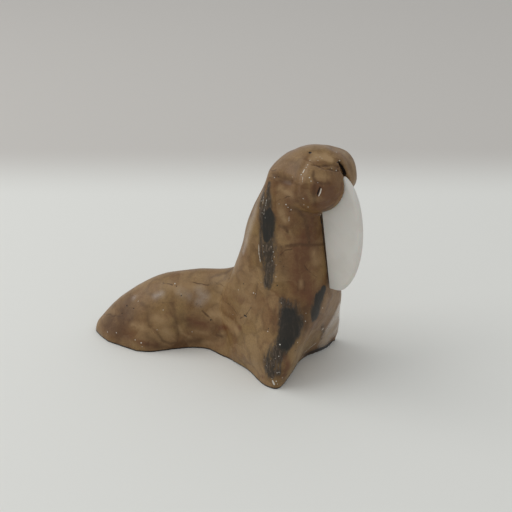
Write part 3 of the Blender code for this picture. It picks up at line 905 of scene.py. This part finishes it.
    def grey(self, nodes: Nodes, value: bpy.types.NodeSocket) -> bpy.types.NodeSocket:
        """A value as a grey colour."""
        node = nodes.tree.nodes.new("ShaderNodeCombineXYZ")
        return nodes.put(node, {0: value, 1: value, 2: value}).outputs[0]

    def worn_mineral(self, nodes: Nodes, colour: bpy.types.NodeSocket) -> bpy.types.NodeSocket:
        """Lays thin, scratched mineral over a colour.

        Args:
            nodes: The material in the making.
            colour: The colour below.

        Returns:
            The colour.
        """
        ragged = nodes.noise(0.9 * MM, 5.0, 0.7, where=nodes.stretched((1.0, 1.0, 0.22)))
        torn = nodes.step(ragged, 0.3, 0.7, 0.4, 1.7)
        shape = nodes.math("MULTIPLY", nodes.layer(Layer.WORN), torn)
        drawn = nodes.noise(0.45 * MM, 4.0, 0.7, where=nodes.stretched((1.0, 1.0, 0.22)))
        mineral = nodes.mix(nodes.step(drawn, 0.46, 0.68), self.mineral, self.worn)
        return nodes.mix(nodes.step(shape, 0.10, 0.90, 0.0, 0.85), colour, mineral)

    def dark(self, nodes: Nodes, colour: bpy.types.NodeSocket) -> bpy.types.NodeSocket:
        """Lays the dark mineral over a colour, with streaks through it.

        Args:
            nodes: The material in the making.
            colour: The colour below.

        Returns:
            The colour.
        """
        ragged = nodes.noise(1.4 * MM, 5.0, 0.65, where=nodes.stretched((1.0, 1.0, 0.28)))
        shape = nodes.math("ADD", nodes.layer(Layer.DARK),
                           nodes.math("MULTIPLY", nodes.math("SUBTRACT", ragged, 0.5), 1.0))
        cover = nodes.step(shape, 0.10, 0.56, 0.0, 0.95)
        cover = nodes.math("MULTIPLY", cover, nodes.step(nodes.layer(Layer.DARK), 0.0, 0.30))
        drawn = nodes.noise(0.8 * MM, 4.0, 0.7, where=nodes.stretched((1.0, 1.0, 0.12)))
        mineral = nodes.mix(nodes.step(drawn, 0.50, 0.70, 0.0, 0.6), self.mineral, self.streak)
        return nodes.mix(cover, colour, mineral)


@dataclass(frozen=True)
class WhiteStone:
    """The plate's pale stone: fine, faintly clouded and a little see-through."""

    body: Colour = (0.672, 0.648, 0.598)
    shade: Colour = (0.605, 0.575, 0.520)
    cloud: float = 7 * MM
    roughness: tuple[float, float] = (0.42, 0.55)

    def build(self) -> bpy.types.Material:
        """Makes the material.

        Returns:
            The material.
        """
        nodes = Nodes("white_stone_rubbed")
        cloud = nodes.step(nodes.noise(self.cloud, 4.0, 0.55, 0.6), 0.40, 0.68)
        colour = nodes.mix(nodes.math("MULTIPLY", cloud, 0.5), self.body, self.shade)
        fine = nodes.step(nodes.noise(0.5 * MM, 3.0), 0.62, 0.74)
        colour = nodes.mix(nodes.math("MULTIPLY", fine, 0.25), colour, self.shade)
        gloss = nodes.step(nodes.noise(2.0 * MM, 3.0), 0.3, 0.7, *self.roughness)
        relief = nodes.noise(3.0 * MM, 4.0, 0.5, where=nodes.stretched((1.0, 1.0, 0.5)))
        nodes.put(nodes.shader, {"Base Color": colour, "Roughness": gloss, "IOR": 1.5,
                                 "Subsurface Weight": 0.12, "Subsurface Scale": 0.002,
                                 "Normal": nodes.bump(relief, 0.08 * MM, 0.5)})
        return nodes.material


def merged_copy(node: bpy.types.Object) -> bmesh.types.BMesh:
    """A frame node's mesh, with its loose triangles joined.

    Args:
        node: The frame's node.

    Returns:
        The mesh.
    """
    bm = bmesh.new()
    bm.from_mesh(node.data)
    bmesh.ops.remove_doubles(bm, verts=bm.verts, dist=SAME_PLACE)
    return bm


def piece_from(bm: bmesh.types.BMesh, name: str) -> bpy.types.Object:
    """Makes an object of a mesh, with smooth faces, and puts it in the scene.

    Args:
        bm: The mesh, which is freed.
        name: The object's name.

    Returns:
        The object.
    """
    for face in bm.faces:
        face.smooth = True
    mesh = bpy.data.meshes.new(name)
    bm.to_mesh(mesh)
    bm.free()
    made = bpy.data.objects.new(name, mesh)
    bpy.context.scene.collection.objects.link(made)
    return made


def points_of(bm: bmesh.types.BMesh) -> np.ndarray:
    """The places of a mesh's points."""
    return np.array([vert.co[:] for vert in bm.verts])


def move_points(bm: bmesh.types.BMesh, points: np.ndarray) -> None:
    """Moves a mesh's points to new places.

    Args:
        bm: The mesh.
        points: The places.
    """
    for vert, point in zip(bm.verts, points):
        vert.co = point
    bm.normal_update()


@dataclass
class Stone:
    """The one brown stone: torso, tail, head and whisker pads.

    Pairs with by_plate in their names say how near the plate nothing moves, and how far from it
    all moves freely. Names that begin with far belong to the marks of chance.
    """

    node: bpy.types.Object
    plate: bpy.types.Object
    sight: Sight
    finish: BrownStone = field(default_factory=BrownStone)
    marks: tuple[Mark, ...] = HEAD_MARKS + NECK_MARKS + FLIPPER_MARKS + TAIL_MARKS
    pulls: tuple[Pull, ...] = PULLS
    flats: tuple[Flat, ...] = FLATS
    hidden: tuple[Scatter, ...] = HIDDEN
    seed: int = 11
    voxel: float = 0.50 * MM
    rub_pairs: int = 45
    rub_in: float = 0.50
    rub_out: float = -0.53
    base_band: float = 0.35 * MM
    base_touch: float = 0.02 * MM
    rubbed_by_plate: tuple[float, float] = (0.6 * MM, 1.8 * MM)
    carved_by_plate: tuple[float, float] = (0.3 * MM, 1.3 * MM)
    wave_depth: float = 0.22 * MM
    wave_sizes: tuple[float, float] = (11 * MM, 4.5 * MM)
    small_waves: float = 0.45
    path_step: float = 0.15 * MM
    wander: float = 0.55 * MM
    wander_size: float = 2.2 * MM
    far_wander: float = 1.1 * MM
    far_sizes: tuple[float, float] = (0.7, 1.3)
    far_taper: float = 0.45
    far_turn: float = 0.15
    far_height: float = 2 * MM
    margins: tuple[tuple[Grain, float], ...] = ((Grain.FINE, 0.32 * MM), (Grain.FINEST, 0.1 * MM))

    def build(self) -> bpy.types.Object:
        """Makes the stone's piece.

        Returns:
            The piece.
        """
        noise.seed_set(self.seed)
        bm = self.remeshed()
        self.rub(bm)
        self.pull(bm)
        self.rub_flats(bm)
        skin = BVHTree.FromBMesh(bm)
        paths = {mark.name: self.traced(mark, skin) for mark in self.marks}
        paths |= self.scattered(skin)
        self.refine(bm, paths)
        made = piece_from(bm, "walrus_stone")
        layers = self.carve(made.data, paths)
        for layer, values in layers.items():
            kept = made.data.attributes.new(layer.value, "FLOAT", "POINT")
            kept.data.foreach_set("value", values.astype(np.float32))
        made.data.materials.append(self.finish.build())
        return made

    def remeshed(self) -> bmesh.types.BMesh:
        """The node's shape as an even, fine mesh.

        Returns:
            The mesh.
        """
        rough = piece_from(merged_copy(self.node), "rough_stone")
        even = rough.modifiers.new("even", "REMESH")
        even.mode = "VOXEL"
        even.voxel_size = self.voxel
        shown = rough.evaluated_get(bpy.context.evaluated_depsgraph_get())
        bm = bmesh.new()
        bm.from_mesh(shown.to_mesh())
        bpy.data.objects.remove(rough)
        return bm

    def rub(self, bm: bmesh.types.BMesh) -> None:
        """Rubs away the flat facets without shrinking the form, except beside the plate.

        Args:
            bm: The stone's mesh.
        """
        points = points_of(bm)
        pairs = np.array([[vert.index for vert in edge.verts] for edge in bm.edges])
        ends = np.concatenate((pairs[:, 0], pairs[:, 1]))
        others = np.concatenate((pairs[:, 1], pairs[:, 0]))
        count = np.bincount(ends, minlength=len(points))[:, None]
        free = self.freedom(points, *self.rubbed_by_plate)
        free = free[:, None].repeat(3, axis=1)
        under = points[:, 2] < self.base_band
        points[under, 2] = 0.0
        free[under, 2] = 0.0
        for turn in range(self.rub_pairs * 2):
            around = np.stack([np.bincount(ends, points[others, axis], len(points))
                               for axis in range(3)], axis=1) / count
            share = self.rub_out if turn % 2 else self.rub_in
            points += (around - points) * free * share
        move_points(bm, points)

    def pull(self, bm: bmesh.types.BMesh) -> None:
        """Makes the pulled parts fuller or slimmer, except beside the plate and underneath.

        Args:
            bm: The stone's mesh.
        """
        points = points_of(bm)
        free = self.freedom(points, *self.rubbed_by_plate)
        under = points[:, 2] < self.base_touch
        for pull in self.pulls:
            points += self.sight.pulled(points, pull) * free[:, None]
        points[under, 2] = 0.0
        move_points(bm, points)

    def freedom(self, points: np.ndarray, held: float, free: float) -> np.ndarray:
        """How freely points may move beside the plate.

        Args:
            points: The points.
            held: How near the plate they can't move.
            free: How far from it they move freely.

        Returns:
            A share for each point.
        """
        near = BVHTree.FromObject(self.plate, bpy.context.evaluated_depsgraph_get())
        away = np.array([near.find_nearest(Vector(point))[3] for point in points])
        return np.clip((away - held) / (free - held), 0.0, 1.0)

    def rub_flats(self, bm: bmesh.types.BMesh) -> None:
        """Rubs the flats, which fade out towards their reach.

        Args:
            bm: The stone's mesh.
        """
        skin = BVHTree.FromBMesh(bm)
        points = points_of(bm)
        normals = np.array([vert.normal[:] for vert in bm.verts])
        for flat in self.flats:
            facing = np.array(Vector(flat.facing).normalized())
            place = np.array(self.sight.onto(skin, *flat.place))
            over = np.clip((points - place) @ facing + flat.depth * MM, 0.0, None)
            far = np.linalg.norm(points - place, axis=1) / (flat.reach * MM)
            share = np.clip(1 - far**4, 0.0, 1.0) * (normals @ facing > 0)
            points -= facing * (over * share)[:, None]
        points[:, 2] = np.clip(points[:, 2], 0.0, None)
        move_points(bm, points)

    def traced(self, mark: Mark, skin: BVHTree) -> np.ndarray:
        """Finds a mark's path on the stone.

        Args:
            mark: The mark.
            skin: The stone's surface.

        Returns:
            A row for each step along the path: three coordinates and the reach there.
        """
        rows = [(*self.sight.onto(skin, across, down), reach * MM)
                for across, down, reach in mark.path]
        steps = [rows[0]]
        for start, end in zip(rows, rows[1:]):
            length = math.dist(start[:3], end[:3])
            count = max(1, round(length / self.path_step))
            for index in range(1, count + 1):
                mixed = [a + (b - a) * index / count for a, b in zip(start, end)]
                place = Vector(mixed[:3])
                if mark.layer is Layer.CRACK:
                    place += noise.noise_vector(place / self.wander_size) * self.wander
                steps.append((*skin.find_nearest(place)[0], mixed[3]))
        return np.array(steps)

    def hidden_spot(self, skin: BVHTree, chance: random.Random) -> tuple[Vector, Vector]:
        """Draws a spot on the hidden sides, from places and never from the mesh's order.

        Args:
            skin: The stone's surface.
            chance: Where the draws come from.

        Returns:
            The spot and the way the surface faces there.
        """
        low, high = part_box(self.node.name)
        while True:
            near = Vector([chance.uniform(least, most) for least, most in zip(low, high)])
            spot, facing, _, _ = skin.find_nearest(near)
            seen_along = (spot - Vector(self.sight.eye)).normalized()
            if facing.dot(seen_along) > self.far_turn and spot.z > self.far_height:
                return spot, facing

    def scattered(self, skin: BVHTree) -> dict[str, np.ndarray]:
        """Adds the marks of chance on the hidden sides.

        Args:
            skin: The stone's surface.

        Returns:
            Each mark's path.
        """
        chance = random.Random(self.seed)
        paths = {}
        for kind in self.hidden:
            for number in range(kind.count):
                spot, facing = self.hidden_spot(skin, chance)
                drift = Vector([chance.uniform(-1, 1) for _ in range(3)])
                drift = Vector((0, 0, 1)) if kind.upright else drift
                drift = (drift - facing * drift.dot(facing)).normalized()
                size = chance.uniform(*self.far_sizes)
                steps = max(1, round(kind.length * size * MM / self.path_step))
                rows = []
                for step in range(steps):
                    place = spot + drift * step * self.path_step
                    place += noise.noise_vector(place / self.wander_size) * self.far_wander
                    bulge = math.sin(math.pi * (step + 0.5) / steps)
                    taper = self.far_taper + (1 - self.far_taper) * bulge
                    rows.append((*skin.find_nearest(place)[0], kind.reach * size * taper * MM))
                made = Mark(f"{kind.name} {number}", kind.layer, ((0, 0, kind.reach),),
                            kind.strength, kind.depth)
                self.marks += (made,)
                paths[made.name] = np.array(rows)
        return paths

    def refine(self, bm: bmesh.types.BMesh, paths: dict[str, np.ndarray]) -> None:
        """Divides the mesh near small marks.

        Args:
            bm: The stone's mesh.
            paths: Each mark's path.
        """
        for level, margin in self.margins:
            chosen = [paths[mark.name] for mark in self.marks
                      if mark.grain().value >= level.value]
            points = points_of(bm)
            near = np.zeros(len(points), bool)
            for path in chosen:
                index, gap = reach_of(points, path, margin)
                near[index[gap < margin]] = True
            edges = [edge for edge in bm.edges if all(near[vert.index] for vert in edge.verts)]
            bmesh.ops.subdivide_edges(bm, edges=edges, cuts=1, use_grid_fill=True)
            bm.verts.index_update()

    def carve(self, mesh: bpy.types.Mesh, paths: dict[str, np.ndarray]) -> dict[Layer, np.ndarray]:
        """Presses the hand's waves and the marks into the mesh.

        Args:
            mesh: The stone's mesh.
            paths: Each mark's path.

        Returns:
            What the marks leave, as one value for each point in each layer.
        """
        count = len(mesh.vertices)
        points, normals = np.zeros(count * 3), np.zeros(count * 3)
        mesh.vertices.foreach_get("co", points)
        mesh.vertices.foreach_get("normal", normals)
        points, normals = points.reshape(-1, 3), normals.reshape(-1, 3)
        free = self.freedom(points, *self.carved_by_plate)
        press = self.waves(points) * free
        layers = {layer: np.zeros(count) for layer in Layer}
        for mark in self.marks:
            index, gap = reach_of(points, paths[mark.name])
            share = 1.0 - gap
            kept = layers[mark.layer]
            kept[index] = np.maximum(kept[index], share * mark.strength)
            dent = share * share * (3.0 - 2.0 * share)
            press[index] += dent * mark.depth * MM * free[index]
        points -= normals * press[:, None]
        low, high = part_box(self.node.name)
        mesh.vertices.foreach_set("co", np.clip(points, low, high).ravel())
        mesh.update()
        return layers

    def waves(self, points: np.ndarray) -> np.ndarray:
        """How far the rubbing hand went in at each point.

        Args:
            points: The mesh's points.

        Returns:
            A depth for each point.
        """
        broad, small = self.wave_sizes
        depths = []
        for point in points:
            here = Vector(point)
            value = noise.noise(here / broad) + self.small_waves * noise.noise(here / small)
            depths.append(self.wave_depth * (0.5 + 0.5 * value))
        return np.clip(depths, 0.0, None)


def reach_of(points: np.ndarray, path: np.ndarray,
             margin: float = 0.0) -> tuple[np.ndarray, np.ndarray]:
    """Finds which points a path reaches.

    Args:
        points: The mesh's points.
        path: The path's steps, each with its reach.
        margin: How far beyond its reach to look, in metres. The gap is then in metres too.

    Returns:
        The points' numbers, and how far each is from the path: as a share of the reach, or as
        metres beyond it where there is a margin.
    """
    widest = path[:, 3].max() + margin
    low, high = path[:, :3].min(axis=0) - widest, path[:, :3].max(axis=0) + widest
    index = np.flatnonzero(((points > low) & (points < high)).all(axis=1))
    apart = np.linalg.norm(points[index, None, :] - path[None, :, :3], axis=2)
    gap = (apart - path[None, :, 3]) if margin else apart / path[None, :, 3]
    gap = gap.min(axis=1)
    inside = gap < (margin or 1.0)
    return index[inside], gap[inside]


@dataclass
class TuskPlate:
    """The white plate that stands for the tusks."""

    node: bpy.types.Object
    finish: WhiteStone = field(default_factory=WhiteStone)
    flat_angle: float = math.radians(1.0)
    sharp_angle: float = math.radians(30)
    edge_rounding: float = 0.30 * MM

    def build(self) -> bpy.types.Object:
        """Makes the plate's piece.

        Returns:
            The piece.
        """
        bm = merged_copy(self.node)
        bmesh.ops.dissolve_limit(bm, angle_limit=self.flat_angle, verts=bm.verts, edges=bm.edges)
        sharp = [edge for edge in bm.edges if edge.calc_face_angle(0.0) > self.sharp_angle]
        bmesh.ops.bevel(bm, geom=sharp, offset=self.edge_rounding, segments=3, profile=0.5,
                        affect="EDGES", material=-1)
        made = piece_from(bm, "tusk_plate_stone")
        made.data.materials.append(self.finish.build())
        return made


@dataclass(frozen=True)
class Studio:
    """A pale floor that darkens far behind, one large soft light and an even fill."""

    floor_half: float = 8.0
    floor_drop: float = 0.05 * MM
    floor_near: Colour = (0.775, 0.780, 0.742)
    floor_far: Colour = (0.572, 0.553, 0.520)
    fade: tuple[float, float] = (0.145, 0.222)
    light_place: tuple[float, float, float] = (-0.62, 0.06, 0.66)
    light_size: float = 0.85
    light_power: float = 3.2
    fill: Colour = (0.985, 0.99, 1.0)
    fill_strength: float = 0.62

    def build(self, sight: Sight) -> None:
        """Makes the floor, the lights and the camera.

        Args:
            sight: The camera's place.
        """
        self.floor(sight)
        self.light(sight)
        world = bpy.data.worlds.new("fill")
        world.use_nodes = True
        sky = world.node_tree.nodes["Background"]
        sky.inputs[0].default_value = (*self.fill, 1.0)
        sky.inputs[1].default_value = self.fill_strength
        bpy.context.scene.world = world
        bpy.context.scene.view_settings.view_transform = "Standard"
        sight.camera()

    def floor(self, sight: Sight) -> None:
        """Makes the floor.

        Args:
            sight: The camera's place, which says which way is behind.
        """
        bm = bmesh.new()
        bmesh.ops.create_grid(bm, x_segments=1, y_segments=1, size=self.floor_half)
        bmesh.ops.translate(bm, verts=bm.verts, vec=(0, 0, -self.floor_drop))
        made = piece_from(bm, "floor")
        nodes = Nodes("pale_floor")
        ahead = sight.forward()
        ahead.z = 0
        along = nodes.tree.nodes.new("ShaderNodeVectorMath")
        along.operation = "DOT_PRODUCT"
        nodes.put(along, {0: nodes.coordinates, 1: ahead.normalized()})
        far = nodes.step(along.outputs["Value"], *self.fade)
        nodes.put(nodes.shader, {"Base Color": nodes.mix(far, self.floor_near, self.floor_far),
                                 "Roughness": 0.7, "Specular IOR Level": 0.2})
        made.data.materials.append(nodes.material)

    def light(self, sight: Sight) -> None:
        """Makes the large light, placed across from, ahead of and above the camera's view.

        Args:
            sight: The camera's place.
        """
        ahead = sight.forward()
        ahead.z = 0
        ahead.normalize()
        right = ahead.cross(Vector((0, 0, 1)))
        across, beyond, up = self.light_place
        made = bpy.data.objects.new("soft_light", bpy.data.lights.new("soft_light", "AREA"))
        made.data.size = self.light_size
        made.data.energy = self.light_power
        made.location = right * across + ahead * beyond + Vector((0, 0, up))
        made.rotation_mode = "QUATERNION"
        made.rotation_quaternion = made.location.to_track_quat("Z", "Y")
        made.visible_camera = False
        bpy.context.scene.collection.objects.link(made)


def dress(piece: bpy.types.Object, node: str) -> None:
    """Puts a piece in its frame node's place.

    Args:
        piece: The piece.
        node: The node that it stands for.
    """
    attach(piece, "root")
    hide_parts(node)
    piece.data.calc_loop_triangles()
    log.info("%s: %d triangles", piece.name, len(piece.data.loop_triangles))


def main() -> None:
    """Builds the studio and both pieces."""
    logging.basicConfig(level=logging.INFO, format="%(message)s")
    sight = Sight()
    Studio().build(sight)
    body, plate = (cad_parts[name] for name in ("walrus_body", "tusk_plate"))
    dress(Stone(body, plate, sight).build(), "walrus_body")
    dress(TuskPlate(plate).build(), "tusk_plate")


if __name__ == "__main__":
    main()
